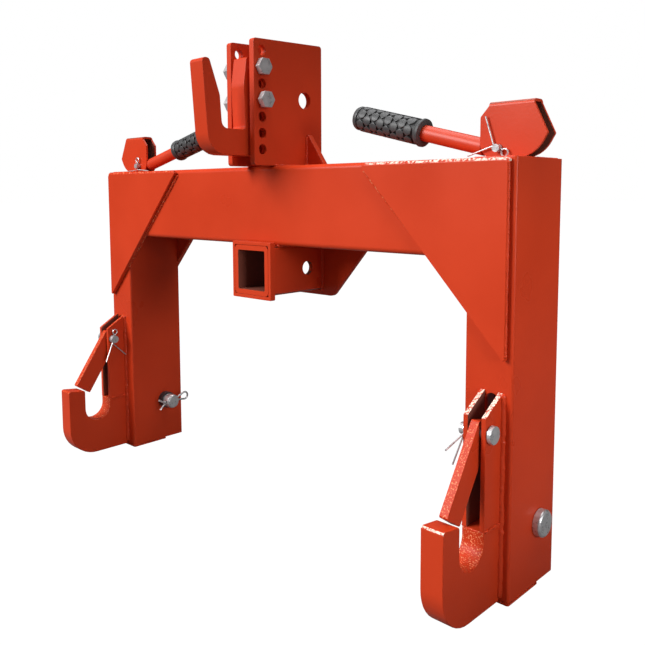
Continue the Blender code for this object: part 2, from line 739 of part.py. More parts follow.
def cam_outline(sign):
    """The cam lever's cheek, seen from the front and about its pin."""
    bottom = GAP - PIN_HEIGHT_OVER_LEG
    undercut = (CAM_OUTER_HEIGHT - bottom) * math.tan(CAM_UNDERCUT_ANGLE)
    corners = [
        (CAM_INNER_TOP, CAM_TOP, 0),
        (CAM_INNER_TOP, CAM_TOP - CAM_TOP_STEP, 0),
        (-CAM_INNER_REACH, CAM_INNER_SHOULDER, CAM_NOSE_RADIUS),
        (-CAM_INNER_REACH, bottom, CAM_INNER_RADIUS),
        (CAM_OUTER_REACH - undercut, bottom, CAM_OUTER_RADIUS),
        (CAM_OUTER_REACH, CAM_OUTER_HEIGHT, CAM_NOSE_RADIUS),
        (CAM_OUTER_TOP, CAM_TOP - CAM_TOP_STEP, 0),
        (CAM_OUTER_TOP, CAM_TOP, 0),
    ]
    return outline([(sign * x, y, radius) for x, y, radius in corners], steps=2 * ARC_STEPS)


def make_cam_bracket(side, sign, axis):
    """A channel folded from plate, with its web on top, trimmed to the cam's outline."""
    half = CAM_WIDTH / 2
    length = CAM_INNER_REACH + CAM_OUTER_REACH + 2 * CUT_OVERRUN
    bottom = -PIN_HEIGHT_OVER_LEG - CUT_OVERRUN
    fold = outline(
        [
            (-half, bottom, 0),
            (-half, CAM_TOP, CAM_BEND),
            (half, CAM_TOP, CAM_BEND),
            (half, bottom, 0),
            (half - CAM_WALL, bottom, 0),
            (half - CAM_WALL, CAM_TOP - CAM_WALL, CAM_BEND - CAM_WALL),
            (-half + CAM_WALL, CAM_TOP - CAM_WALL, CAM_BEND - CAM_WALL),
            (-half + CAM_WALL, bottom, 0),
        ]
    )
    shift = Vector((sign * (CAM_OUTER_REACH - CAM_INNER_REACH) / 2, 0, 0))
    bracket = plate(f"cam_bracket_{side}", [fold], length, axis.location + shift, SIDE_VIEW, PAINT, axis)
    trim = plate(f"trim_cam_{side}", [cam_outline(sign)], 2 * CAM_WIDTH, axis.location, FRONT_VIEW)
    bore = round_bar(
        f"cut_cam_bore_{side}",
        LEVER_PIN_DIAMETER + 2 * GAP,
        -CAM_WIDTH,
        CAM_WIDTH,
        axis.location,
        TO_FRONT,
    )
    combine(bracket, trim, "INTERSECT")
    combine(bracket, bore, "DIFFERENCE")


def make_handle(side, sign, axis):
    """The round handle rod, mitred to the cam's inner edge, and the rubber grip on it."""
    start = axis.location + Vector((-sign * (CAM_INNER_REACH + GAP), 0, HANDLE_START_HEIGHT))
    heading = (0, -sign * (math.pi / 2 - HANDLE_SLOPE), 0)
    name = f"handle_rod_{side}"
    rod = round_bar(name, HANDLE_DIAMETER, -HANDLE_DIAMETER, HANDLE_LENGTH, start, heading, PAINT, axis)
    half = HANDLE_DIAMETER
    mitre_x = start.x + sign * half
    mitre_place = Vector((mitre_x, start.y, start.z))
    mitre = plate(f"cut_mitre_{side}", [rectangle(half, 2 * half, 0)], 2 * half, mitre_place, FRONT_VIEW)
    combine(rod, mitre, "DIFFERENCE")
    outer, inner = GRIP_DIAMETER / 2, HANDLE_DIAMETER / 2 + GAP
    flange = GRIP_FLANGE_DIAMETER / 2
    top = HANDLE_LENGTH + GAP + GRIP_END_WALL
    bottom = top - GRIP_LENGTH
    flange_top = bottom + GRIP_FLANGE_THICKNESS
    profile = [(0, top)]
    for step in range(ARC_STEPS + 1):
        angle = math.pi / 2 * (1 - step / ARC_STEPS)
        profile.append(
            (
                outer - GRIP_ROUNDING + GRIP_ROUNDING * math.cos(angle),
                top - GRIP_ROUNDING + GRIP_ROUNDING * math.sin(angle),
            )
        )
    profile += [
        (outer, flange_top + GRIP_ROUNDING),
        (flange, flange_top),
        (flange, bottom),
        (inner, bottom),
        (inner, HANDLE_LENGTH + GAP),
        (0, HANDLE_LENGTH + GAP),
    ]
    turned(f"grip_{side}", profile, start, heading, RUBBER, axis)


def make_lever_pin(side, sign, axis, loop_angle, leg_angles):
    """The pin through the cam bracket and the rod's eye, its head to the rear and its split pin in front."""
    radius, head_radius = LEVER_PIN_DIAMETER / 2, LEVER_PIN_HEAD / 2
    half = CAM_WIDTH / 2 + GAP
    head = -half - LEVER_PIN_HEAD_THICKNESS
    end = half + LEVER_PIN_STANDOUT
    profile = [(0, end), (radius, end), (radius, -half), (head_radius, -half), (head_radius, head), (0, head)]
    pin = turned(f"lever_pin_{side}", profile, axis.location, TO_FRONT, ZINC, axis)
    clip_place = axis.location - Vector((0, half + CLIP_SET, 0))
    heading = (0, math.pi / 2 - loop_angle, 0)
    drill_for_clip(pin, f"cut_lever_pin_{side}", clip_place, heading, LEVER_PIN_DIAMETER, CLIP_WIRE)
    sizes = (LEVER_PIN_DIAMETER, CLIP_WIRE, CLIP_LOOP, CLIP_LOOP_REACH, LEVER_CLIP_LEG)
    make_split_pin(f"lever_pin_clip_{side}", clip_place, FRONT_VIEW, loop_angle, leg_angles, sizes, axis)


def make_lever(side, sign, loop_angle, leg_angles):
    axis = axis_empty(f"lever_axis_{side}", world(sign * ROD_X, ROD_DEPTH, LEVER_PIN_HEIGHT))
    make_cam_bracket(side, sign, axis)
    make_handle(side, sign, axis)
    make_lever_pin(side, sign, axis, loop_angle, leg_angles)


def make_link_pin(side, sign):
    """The pin that the tractor's lower link goes on, in the leg's walls and a boss on the inner one."""
    radius = LINK_PIN_DIAMETER / 2
    half = LEG_WIDTH / 2 + GAP
    end = -half - LINK_PIN_STANDOUT
    head = half + LINK_PIN_HEAD_THICKNESS
    head_radius = LINK_PIN_HEAD / 2
    profile = [
        (0, head),
        (head_radius - LINK_PIN_CHAMFER, head),
        (head_radius, head - LINK_PIN_CHAMFER),
        (head_radius, half),
        (radius, half),
        (radius, end + LINK_PIN_CHAMFER),
        (radius - LINK_PIN_CHAMFER, end),
        (0, end),
    ]
    heading = TO_RIGHT if sign > 0 else TO_LEFT
    place_ = world(sign * LEG_MIDDLE, LINK_PIN_DEPTH, LINK_PIN_HEIGHT)
    axis = axis_empty(f"link_pin_axis_{side}", place_)
    pin = turned(f"link_pin_{side}", profile, place_, heading, ZINC, axis)
    outer, inner = LINK_BOSS_DIAMETER / 2, radius + GAP
    boss_end = -half - LINK_BOSS_LENGTH
    ring = [(outer, -half), (outer, boss_end), (inner, boss_end), (inner, -half)]
    turned(f"link_pin_boss_{side}", ring, place_, heading, SPRING_STEEL, ring=True)
    clip_x = sign * (LEG_INNER - LINK_PIN_STANDOUT + LINK_CLIP_SET)
    clip_place = world(clip_x, LINK_PIN_DEPTH, LINK_PIN_HEIGHT)
    loop_angle, leg_angles = LINK_CLIP_LIE
    cut_heading = (loop_angle - math.pi / 2, 0, 0)
    drill_for_clip(pin, f"cut_link_pin_{side}", clip_place, cut_heading, LINK_PIN_DIAMETER, LINK_CLIP_WIRE)
    sizes = (LINK_PIN_DIAMETER, LINK_CLIP_WIRE, LINK_CLIP_LOOP, LINK_CLIP_LOOP_REACH, LINK_CLIP_LEG)
    make_split_pin(f"link_pin_clip_{side}", clip_place, SIDE_VIEW, loop_angle, leg_angles, sizes, axis)


def mast_holes():
    """Heights above the cross tube of the top hook's adjusting holes, from the lowest."""
    return [MAST_HOLE_FIRST + MAST_HOLE_PITCH * row for row in range(MAST_HOLE_COUNT)]


def make_mast():
    seat = LEG_HEIGHT + GAP
    edge = outline(
        [
            (-MAST_FRONT, 0, MAST_CORNER),
            (MAST_REAR, 0, MAST_CORNER),
            (MAST_REAR, MAST_HEIGHT + MAST_REAR_RISE, MAST_CORNER),
            (-MAST_FRONT, MAST_HEIGHT, MAST_CORNER),
        ]
    )
    loops = [edge, circle(TOP_LINK_DEPTH, TOP_LINK_HEIGHT, TOP_LINK_DIAMETER, steps=24)]
    loops += [circle(-MAST_HOLE_FRONT, height, MAST_HOLE_DIAMETER, steps=16) for height in mast_holes()]
    offset = (MAST_WIDTH - MAST_WALL) / 2
    for side, sign in SIDES:
        plate(f"mast_plate_{side}", loops, MAST_WALL, world(sign * offset, 0, seat), SIDE_VIEW, PAINT)
        inner = sign * (MAST_WIDTH / 2 + GAP)
        rib = outline(
            [
                (inner, 0, 0),
                (inner, MAST_GUSSET_HEIGHT, 0),
                (inner + sign * MAST_GUSSET_CORNER / 2, MAST_GUSSET_HEIGHT, MAST_GUSSET_CORNER / 4),
                (inner + sign * MAST_GUSSET_RUN, MAST_GUSSET_CORNER / 2, MAST_GUSSET_CORNER / 4),
                (inner + sign * MAST_GUSSET_RUN, 0, 0),
            ]
        )
        place_ = world(0, MAST_GUSSET_DEPTH + MAST_GUSSET_THICKNESS / 2, seat)
        plate(f"mast_gusset_{side}", [rib], MAST_GUSSET_THICKNESS, place_, FRONT_VIEW, PAINT)


def make_top_hook():
    seat = LEG_HEIGHT + GAP
    tip_radius = TOP_HOOK_TIP_WIDTH / 2 - GAP
    bolts = [mast_holes()[-1 - row] for row in BOLT_ROWS]
    shank_top = max(bolts) + TOP_HOOK_OVER_BOLT
    edge = outline(
        [
            (TOP_HOOK_SHANK_REAR, TOP_HOOK_BOTTOM, TOP_HOOK_SHANK_CORNER),
            (TOP_HOOK_SHANK_REAR, shank_top, TOP_HOOK_SHANK_CORNER),
            (-TOP_HOOK_SHANK_TOP_FRONT, shank_top, TOP_HOOK_SHANK_CORNER),
            (-TOP_HOOK_SHANK_BULGE, TOP_HOOK_BULGE_HEIGHT, TOP_HOOK_BULGE_RADIUS),
            (-TOP_HOOK_SHANK_FRONT, TOP_HOOK_SLOT_BOTTOM, TOP_HOOK_THROAT_RADIUS),
            (-TOP_HOOK_PRONG_FOOT, TOP_HOOK_SLOT_BOTTOM, TOP_HOOK_SLOT_RADIUS),
            (-TOP_HOOK_PRONG_REAR, TOP_HOOK_KNEE, TOP_HOOK_KNEE_RADIUS),
            (-TOP_HOOK_REACH + TOP_HOOK_TIP_WIDTH, TOP_HOOK_TIP, tip_radius),
            (-TOP_HOOK_REACH, TOP_HOOK_TIP, tip_radius),
            (-TOP_HOOK_HEEL_REACH, TOP_HOOK_BOTTOM, TOP_HOOK_HEEL_RADIUS),
        ]
    )
    loops = [edge] + [circle(-MAST_HOLE_FRONT, height, BOLT_DIAMETER + 2 * GAP) for height in bolts]
    plate("top_hook", loops, TOP_HOOK_THICKNESS, world(0, 0, seat), SIDE_VIEW, PAINT)


def hexagon(across_flats):
    radius = across_flats / math.sqrt(3)
    angles = [math.pi / 3 * side for side in range(6)]
    return [(radius * math.cos(angle), radius * math.sin(angle)) for angle in angles]


def make_hook_bolts():
    """Two bolts through mast and top hook: heads to the right, nuts to the left. The lower is slack."""
    half = MAST_WIDTH / 2 + GAP
    for name, row, slack in zip(("upper", "lower"), BOLT_ROWS, (0, LOWER_BOLT_SLACK)):
        height = LEG_HEIGHT + GAP + mast_holes()[-1 - row]
        middle = world(0, -MAST_HOLE_FRONT, height)
        tail = slack - half - GAP - BOLT_END
        bolt = round_bar(f"hook_bolt_{name}", BOLT_DIAMETER, tail, slack + half + GAP, middle, TO_RIGHT, ZINC)
        head_place = middle + Vector((slack + half + BOLT_HEAD_THICKNESS / 2, 0, 0))
        flats = hexagon(BOLT_ACROSS_FLATS)
        head = plate(f"bolt_head_{name}", [flats], BOLT_HEAD_THICKNESS, head_place, SIDE_VIEW)
        combine(bolt, head, "UNION")
        nut_place = middle - Vector((half + NUT_THICKNESS / 2, 0, 0))
        loops = [flats, circle(0, 0, BOLT_DIAMETER + 2 * GAP)]
        plate(f"hook_nut_{name}", loops, NUT_THICKNESS, nut_place, SIDE_VIEW, ZINC)


def make_receiver():
    """The 2 in receiver tube, the collar round its mouth and the plate that ties it to the cross tube."""
    outer = rectangle(RECEIVER_HALF, RECEIVER_HALF, RECEIVER_CORNER)
    bore = rectangle(RECEIVER_BORE / 2, RECEIVER_BORE / 2, RECEIVER_BORE_CORNER)
    rear = LEG_DEPTH - BACK_PLATE_REAR_SET
    length = RECEIVER_FRONT + rear
    middle = world(0, rear - length / 2, RECEIVER_MIDDLE)
    tube = plate("receiver_tube", [outer, bore], length, middle, FRONT_VIEW, PAINT)
    pin_hole = round_bar(
        "cut_hitch_pin",
        RECEIVER_PIN_DIAMETER,
        -RECEIVER_HALF - CUT_OVERRUN,
        RECEIVER_HALF + CUT_OVERRUN,
        world(0, RECEIVER_PIN_DEPTH, RECEIVER_MIDDLE),
        TO_RIGHT,
    )
    combine(tube, pin_hole, "DIFFERENCE")
    inside = RECEIVER_HALF + GAP
    rim = inside + COLLAR_WALL
    loops = [rectangle(rim, rim, COLLAR_CORNER), rectangle(inside, inside, COLLAR_CORNER)]
    collar_place = world(0, -RECEIVER_FRONT + COLLAR_THICKNESS / 2, RECEIVER_MIDDLE)
    plate("receiver_collar", loops, COLLAR_THICKNESS, collar_place, FRONT_VIEW, PAINT)
    bottom = RECEIVER_MIDDLE - RECEIVER_HALF - BACK_PLATE_BELOW
    top = RECEIVER_MIDDLE + RECEIVER_HALF
    sill = RECEIVER_MIDDLE - inside
    edge = outline(
        [
            (-BACK_PLATE_BOTTOM_HALF, bottom, BACK_PLATE_CORNER),
            (BACK_PLATE_BOTTOM_HALF, bottom, BACK_PLATE_CORNER),
            (BACK_PLATE_TOP_HALF, top, 0),
            (inside, top, 0),
            (inside, sill, 0),
            (-inside, sill, 0),
            (-inside, top, 0),
            (-BACK_PLATE_TOP_HALF, top, 0),
        ]
    )
    place_ = world(0, rear - BACK_PLATE_THICKNESS / 2, 0)
    plate("receiver_back_plate", [edge], BACK_PLATE_THICKNESS, place_, FRONT_VIEW, PAINT)


# How each split pin lies: its eye's direction, then its two legs'
LINK_CLIP_LIE = (math.radians(8), (math.radians(150), math.radians(225)))
LATCH_CLIPS = {
    "left": (math.radians(76), (math.radians(-112), math.radians(-43))),
    "right": (math.radians(43), (math.radians(-164), math.radians(-127))),
}
LEVER_CLIPS = {
    "left": (math.radians(90), (math.radians(-175), math.radians(-5))),
    "right": (math.radians(-30), (math.radians(108), math.radians(197))),
}


def make_side(side, sign):
    make_leg(side, sign)
    make_leg_ends(side, sign)
    make_gussets(side, sign)
    make_lower_hook(side, sign)
    make_latch_covers(side, sign)
    make_latch(side, sign)
    make_latch_pin(side, sign, *LATCH_CLIPS[side])
    make_pull_rod(side, sign)
    make_return_spring(side, sign)
    make_lever(side, sign, *LEVER_CLIPS[side])
    make_link_pin(side, sign)


make_cross_tube()
for side_name, side_sign in SIDES:
    make_side(side_name, side_sign)
make_mast()
make_top_hook()
make_hook_bolts()
make_receiver()
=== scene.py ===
"""Looks of the three point quick hitch: painted plate and tube with broken edges, weld beads, zinc plated
fasteners and moulded rubber grips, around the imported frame. Metres, +Z up, -Y towards the implement."""

import json
import math
import random

import bmesh
import bpy
from mathutils import Matrix, Vector


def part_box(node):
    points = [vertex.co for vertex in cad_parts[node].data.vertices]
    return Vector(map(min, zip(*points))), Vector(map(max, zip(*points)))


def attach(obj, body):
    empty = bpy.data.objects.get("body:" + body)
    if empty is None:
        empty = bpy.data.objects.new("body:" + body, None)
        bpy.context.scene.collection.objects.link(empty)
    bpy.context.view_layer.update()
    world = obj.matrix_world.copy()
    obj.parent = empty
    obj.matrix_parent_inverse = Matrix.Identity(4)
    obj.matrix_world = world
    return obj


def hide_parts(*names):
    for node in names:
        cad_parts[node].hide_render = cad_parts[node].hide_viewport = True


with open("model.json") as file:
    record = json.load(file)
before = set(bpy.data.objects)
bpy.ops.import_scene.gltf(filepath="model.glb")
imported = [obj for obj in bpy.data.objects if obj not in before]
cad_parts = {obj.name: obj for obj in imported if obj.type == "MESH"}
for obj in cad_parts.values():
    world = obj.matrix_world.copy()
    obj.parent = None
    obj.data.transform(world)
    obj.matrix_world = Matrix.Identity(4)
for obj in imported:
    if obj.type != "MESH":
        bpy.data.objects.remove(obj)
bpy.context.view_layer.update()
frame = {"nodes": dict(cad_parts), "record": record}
NODES = frame["nodes"]
BODY_OF = {node: body for body, nodes in frame["record"]["behaviour"]["bodies"].items() for node in nodes}
SLOT_OF = {row["node"]: row["material_slot"] for row in frame["record"]["subparts"]}
SIDES = (("left", -1), ("right", 1))

# Camera, in the photograph's frame of 645 x 645 pixels
PHOTO_SIZE = 645
FOCAL_PIXELS = 733.1
PRINCIPAL_POINT = (321.8, 261.3)
SENSOR = 36
CAMERA_PLACE = (0.7087, -0.62645, 0.4099)
CAMERA_YAW = math.radians(43.635)
CAMERA_PITCH = math.radians(5.32)
CAMERA_ROLL = math.radians(-0.2)

# Mesh clean-up and edges
MERGE = 0.00001
FLAT_ANGLE = math.radians(0.6)
SHARP_ANGLE = math.radians(33)
BEVEL_SEGMENTS = 2
FLAT_FACE_WEIGHT = 100

# Edge radii of the pieces, where they differ from the plate's
PLATE_EDGE = 0.0007
EDGE_RADII = {
    "lower_hook": 0.0011,
    "top_hook": 0.0012,
    "mast_plate": 0.0012,
    "cam_bracket": 0.0005,
    "latch_cover": 0.0005,
    "latch_pin": 0.0009,
    "link_pin": 0.0008,
    "lever_pin": 0.0005,
    "hook_bolt": 0.0004,
    "hook_nut": 0.0004,
    "receiver_tube": 0.0006,
    "handle_rod": 0.0005,
    "pull_rod": 0.0004,
    "spring_stop": 0.0004,
}
NO_EDGE = ("return_spring", "latch_pin_clip", "lever_pin_clip", "link_pin_clip", "grip")


def select_only(*objects):
    """Deselects everything, then selects these, the first of them active."""
    bpy.ops.object.select_all(action="DESELECT")
    for obj in objects:
        obj.select_set(True)
    bpy.context.view_layer.objects.active = objects[0]


def apply_place(obj):
    """Puts an object's place into its mesh, so that it sits at the origin unturned and unscaled."""
    select_only(obj)
    bpy.ops.object.transform_apply(location=True, rotation=True, scale=True)


def apply_modifiers(obj):
    select_only(obj)
    for modifier in list(obj.modifiers):
        bpy.ops.object.modifier_apply(modifier=modifier.name)


def smooth(obj):
    select_only(obj)
    bpy.ops.object.shade_smooth_by_angle(angle=SHARP_ANGLE)


def bevel(obj, width):
    modifier = obj.modifiers.new("edges", "BEVEL")
    modifier.width = width
    modifier.segments = BEVEL_SEGMENTS
    modifier.limit_method = "ANGLE"
    modifier.angle_limit = SHARP_ANGLE
    modifier.use_clamp_overlap = True
    apply_modifiers(obj)


def even_normals(obj):
    """Lets the large flat faces set the shading, so that only the broken edges look round."""
    modifier = obj.modifiers.new("normals", "WEIGHTED_NORMAL")
    modifier.keep_sharp = True
    modifier.weight = FLAT_FACE_WEIGHT
    apply_modifiers(obj)


def paint_with(obj, *materials):
    obj.data.materials.clear()
    for material in materials:
        obj.data.materials.append(material)


def finish_faces(obj, material, chosen):
    """Gives another finish to the faces for which chosen(centre, normal) is true."""
    obj.data.materials.append(material)
    slot = len(obj.data.materials) - 1
    for face in obj.data.polygons:
        if chosen(face.center, face.normal):
            face.material_index = slot


def merged_copy(node, name):
    """A copy of a CAD node with its loose triangles merged and its flat faces made whole."""
    piece = bpy.data.objects.new(name, NODES[node].data.copy())
    bpy.context.scene.collection.objects.link(piece)
    select_only(piece)
    bpy.ops.object.mode_set(mode="EDIT")
    bpy.ops.mesh.select_all(action="SELECT")
    bpy.ops.mesh.remove_doubles(threshold=MERGE)
    bpy.ops.mesh.dissolve_limited(angle_limit=FLAT_ANGLE)
    bpy.ops.object.mode_set(mode="OBJECT")
    return piece


# Node groups

# Where most values of a noise texture lie
NOISE_SPAN = (0.3, 0.7)
MOTTLE_DETAIL = 4.0
GRAIN_DETAIL = 2.0
SPECK_RIM = (0.06, 0.16)


def new_group(name, inputs, outputs):
    """A shader node group with named sockets: (name, type, default)."""
    group = bpy.data.node_groups.new(name, "ShaderNodeTree")
    for label, kind, default in inputs:
        socket = group.interface.new_socket(label, in_out="INPUT", socket_type=kind)
        if default is not None:
            socket.default_value = default
    for label, kind in outputs:
        group.interface.new_socket(label, in_out="OUTPUT", socket_type=kind)
    return group, group.nodes.new("NodeGroupInput"), group.nodes.new("NodeGroupOutput")


def add_node(tree, kind, **settings):
    node = tree.nodes.new(kind)
    for key, value in settings.items():
        setattr(node, key, value)
    return node


def noise(tree, vector, scale, detail):
    node = add_node(tree, "ShaderNodeTexNoise")
    node.inputs["Scale"].default_value = scale
    node.inputs["Detail"].default_value = detail
    tree.links.new(vector, node.inputs["Vector"])
    return node.outputs["Fac"]


def spread(tree, value, low, high, to_low=0.0, to_high=1.0):
    """Maps a value's range to another, clamped."""
    node = add_node(tree, "ShaderNodeMapRange")
    for label, number in (("From Min", low), ("From Max", high), ("To Min", to_low), ("To Max", to_high)):
        node.inputs[label].default_value = number
    tree.links.new(value, node.inputs["Value"])
    return node.outputs["Result"]


def mix_colours(tree, factor, first, second):
    """Mixes two colours, each a socket or a tuple, by a socket's value."""
    node = add_node(tree, "ShaderNodeMix", data_type="RGBA")
    for socket, colour in ((node.inputs["A"], first), (node.inputs["B"], second)):
        if isinstance(colour, tuple):
            socket.default_value = (*colour, 1)
        else:
            tree.links.new(colour, socket)
    tree.links.new(factor, node.inputs["Factor"])
    return node.outputs["Result"]


def make_surface_group():
    """Slow mottling and fine orange peel, as sprayed or plated surfaces have."""
    group, given, made = new_group(
        "surface_variation",
        [
            ("Vector", "NodeSocketVector", None),
            ("Mottle Scale", "NodeSocketFloat", 9.0),
            ("Grain Scale", "NodeSocketFloat", 420.0),
        ],
        [("Mottle", "NodeSocketFloat"), ("Grain", "NodeSocketFloat"), ("Speck", "NodeSocketFloat")],
    )
    for label, scale, detail in (("Mottle", "Mottle Scale", MOTTLE_DETAIL), ("Grain", "Grain Scale", GRAIN_DETAIL)):
        texture = add_node(group, "ShaderNodeTexNoise")
        texture.inputs["Detail"].default_value = detail
        group.links.new(given.outputs["Vector"], texture.inputs["Vector"])
        group.links.new(given.outputs[scale], texture.inputs["Scale"])
        group.links.new(texture.outputs["Fac"], made.inputs[label])
    cells = add_node(group, "ShaderNodeTexVoronoi")
    group.links.new(given.outputs["Vector"], cells.inputs["Vector"])
    group.links.new(given.outputs["Grain Scale"], cells.inputs["Scale"])
    group.links.new(spread(group, cells.outputs["Distance"], *SPECK_RIM, 1.0, 0.0), made.inputs["Speck"])
    return group


SURFACE = make_surface_group()


def new_material(name, roughness, metallic):
    material = bpy.data.materials.new(name)
    material.use_nodes = True
    tree = material.node_tree
    shader = tree.nodes["Principled BSDF"]
    shader.inputs["Roughness"].default_value = roughness
    shader.inputs["Metallic"].default_value = metallic
    place = add_node(tree, "ShaderNodeTexCoord").outputs["Object"]
    return material, tree, shader, place


def place_surface(tree, vector, mottle_scale, grain_scale):
    node = add_node(tree, "ShaderNodeGroup")
    node.node_tree = SURFACE
    node.inputs["Mottle Scale"].default_value = mottle_scale
    node.inputs["Grain Scale"].default_value = grain_scale
    tree.links.new(vector, node.inputs["Vector"])
    return node.outputs


def bump(tree, shader, height, strength, distance):
    node = add_node(tree, "ShaderNodeBump")
    node.inputs["Strength"].default_value = strength
    node.inputs["Distance"].default_value = distance
    tree.links.new(height, node.inputs["Height"])
    tree.links.new(node.outputs["Normal"], shader.inputs["Normal"])


# Finishes. Colours are linear

PAINT_COLOUR = (0.64, 0.052, 0.0135)
PAINT_DEEP = (0.57, 0.044, 0.0115)
PAINT_GLOSS = 0.2
PEEL_DEPTH = 0.0005
# The next two colours are painted shade: a darker enamel for insides and for faces between parts
SHADE_COLOUR = (0.26, 0.07, 0.045)
SHADE_DEEP = (0.17, 0.055, 0.04)
# The next two colours are painted glints: pale and white specks that stand in for light caught by rough edges and
# welds
PALE_GLINT_COLOUR = (0.88, 0.3, 0.14)
WHITE_GLINT_COLOUR = (0.93, 0.74, 0.62)
FLECK_DEPTH = 0.0008
FLECK_GLOSS = 0.14
ZINC_DULL = (0.55, 0.55, 0.56)
ZINC_BRIGHT = (0.68, 0.68, 0.69)
STEEL_DARK = (0.03, 0.03, 0.032)
STEEL_WORN = (0.085, 0.085, 0.088)
STEEL_SPECK = (0.3, 0.3, 0.31)
RUBBER_DARK = (0.05, 0.051, 0.052)
RUBBER_LIGHT = (0.075, 0.076, 0.078)
# The next two colours are painted shade: near black rubber for the grooves between the pads
GROOVE_SHADE_DARK = (0.008, 0.008, 0.009)
GROOVE_SHADE_LIGHT = (0.013, 0.013, 0.014)
RUBBER_GLOSS = 0.36


def paint_material(name, colour, deep, roughness, peel, gloss=PAINT_GLOSS):
    """Sprayed enamel: two close tones that drift over the surface, with a fine orange peel."""
    material, tree, shader, place = new_material(name, roughness, 0)
    surface = place_surface(tree, place, mottle_scale=7.0, grain_scale=420.0)
    drift = spread(tree, surface["Mottle"], 0.36, 0.66)
    tree.links.new(mix_colours(tree, drift, deep, colour), shader.inputs["Base Color"])
    rough = spread(tree, surface["Mottle"], *NOISE_SPAN, roughness - 0.04, roughness + 0.05)
    tree.links.new(rough, shader.inputs["Roughness"])
    bump(tree, shader, surface["Grain"], strength=peel, distance=PEEL_DEPTH)
    shader.inputs["Specular IOR Level"].default_value = gloss
    return material


def glint_material(name, low, high, pale, fleck_scale):
    """Enamel on a rough edge, with pale specks painted in as glints of light. low and high set how many."""
    material, tree, shader, place = new_material(name, 0.3, 0)
    surface = place_surface(tree, place, mottle_scale=fleck_scale, grain_scale=900.0)
    glint_share = spread(tree, surface["Mottle"], low, high)
    tree.links.new(mix_colours(tree, glint_share, PAINT_DEEP, pale), shader.inputs["Base Color"])
    bump(tree, shader, surface["Mottle"], strength=0.5, distance=FLECK_DEPTH)
    shader.inputs["Specular IOR Level"].default_value = FLECK_GLOSS
    return material


def zinc_material(name, dull, bright):
    """Zinc plate: close grey spangles, some duller than others."""
    material, tree, shader, place = new_material(name, 0.3, 0.6)
    surface = place_surface(tree, place, mottle_scale=130.0, grain_scale=900.0)
    drift = spread(tree, surface["Mottle"], 0.35, 0.65)
    tree.links.new(mix_colours(tree, drift, dull, bright), shader.inputs["Base Color"])
    tree.links.new(spread(tree, surface["Mottle"], *NOISE_SPAN, 0.24, 0.38), shader.inputs["Roughness"])
    bump(tree, shader, surface["Grain"], strength=0.1, distance=0.0002)
    return material


def spring_material(name, dark, worn, speck):
    """Oiled spring wire: dark steel with small bright specks."""
    material, tree, shader, place = new_material(name, 0.36, 0.4)
    surface = place_surface(tree, place, mottle_scale=160.0, grain_scale=700.0)
    oiled = mix_colours(tree, surface["Mottle"], dark, worn)
    tree.links.new(mix_colours(tree, surface["Speck"], oiled, speck), shader.inputs["Base Color"])
    bump(tree, shader, surface["Grain"], strength=0.3, distance=0.0004)
    return material


def rubber_material(name, dark, light):
    """Moulded rubber: nearly even, dull, with the mould's fine grain."""
    material, tree, shader, place = new_material(name, 0.4, 0)
    surface = place_surface(tree, place, mottle_scale=50.0, grain_scale=1300.0)
    tree.links.new(mix_colours(tree, surface["Mottle"], dark, light), shader.inputs["Base Color"])
    tree.links.new(spread(tree, surface["Mottle"], *NOISE_SPAN, 0.34, 0.5), shader.inputs["Roughness"])
    bump(tree, shader, surface["Grain"], strength=0.3, distance=0.0003)
    shader.inputs["Specular IOR Level"].default_value = RUBBER_GLOSS
    return material


PAINT = paint_material("orange_red_enamel", PAINT_COLOUR, PAINT_DEEP, 0.3, 0.14)
WELD_PAINT = paint_material("enamel_on_weld", PAINT_COLOUR, PAINT_DEEP, 0.34, 0.4)
ROD_PAINT = paint_material("thick_enamel_on_rod", PAINT_COLOUR, PAINT_DEEP, 0.42, 0.1, gloss=0.36)
# A darker enamel that paints shade into insides and gaps
PAINTED_SHADE = paint_material("enamel_with_painted_shade", SHADE_COLOUR, SHADE_DEEP, 0.4, 0.2)
# Four enamels with pale specks painted in as glints of light on welds and cut edges
WELD_WHITE_GLINTS = glint_material("weld_with_painted_white_glints", 0.42, 0.58, WHITE_GLINT_COLOUR, 330.0)
CUT_EDGE_PALE_GLINTS = glint_material("cut_edge_with_painted_glints", 0.57, 0.64, PALE_GLINT_COLOUR, 640.0)
WELD_PALE_GLINTS = glint_material("weld_with_painted_glints", 0.56, 0.66, PALE_GLINT_COLOUR, 420.0)
CUT_EDGE_WHITE_GLINTS = glint_material("cut_edge_with_painted_white_glints", 0.4, 0.52, WHITE_GLINT_COLOUR, 480.0)
ZINC = zinc_material("bright_zinc", ZINC_DULL, ZINC_BRIGHT)
SPRING_STEEL = spring_material("oiled_spring_steel", STEEL_DARK, STEEL_WORN, STEEL_SPECK)
RUBBER = rubber_material("moulded_rubber", RUBBER_DARK, RUBBER_LIGHT)
# Darker rubber that paints shade into the grip's grooves
RUBBER_WITH_GROOVE_SHADE = rubber_material("moulded_rubber_with_painted_groove_shade", GROOVE_SHADE_DARK, GROOVE_SHADE_LIGHT)
FINISHES = {"paint": PAINT, "zinc": ZINC, "rubber": RUBBER, "spring_steel": SPRING_STEEL}


# Dressed copies of the solids

def edge_radius(node):
    if node.startswith(NO_EDGE):
        return 0
    for start, radius in EDGE_RADII.items():
        if node.startswith(start):
            return radius
    return PLATE_EDGE


def dress(node):
    """The node's own shape with merged faces, broken edges and its finish."""
    piece = merged_copy(node, f"{node}_finished")
    if edge_radius(node):
        bevel(piece, edge_radius(node))
    smooth(piece)
    if edge_radius(node):
        even_normals(piece)
    slot = SLOT_OF[node]
    paint_with(piece, ROD_PAINT if node.startswith("handle_rod") else FINISHES[slot])
    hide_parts(node)
    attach(piece, BODY_OF[node])
    return piece


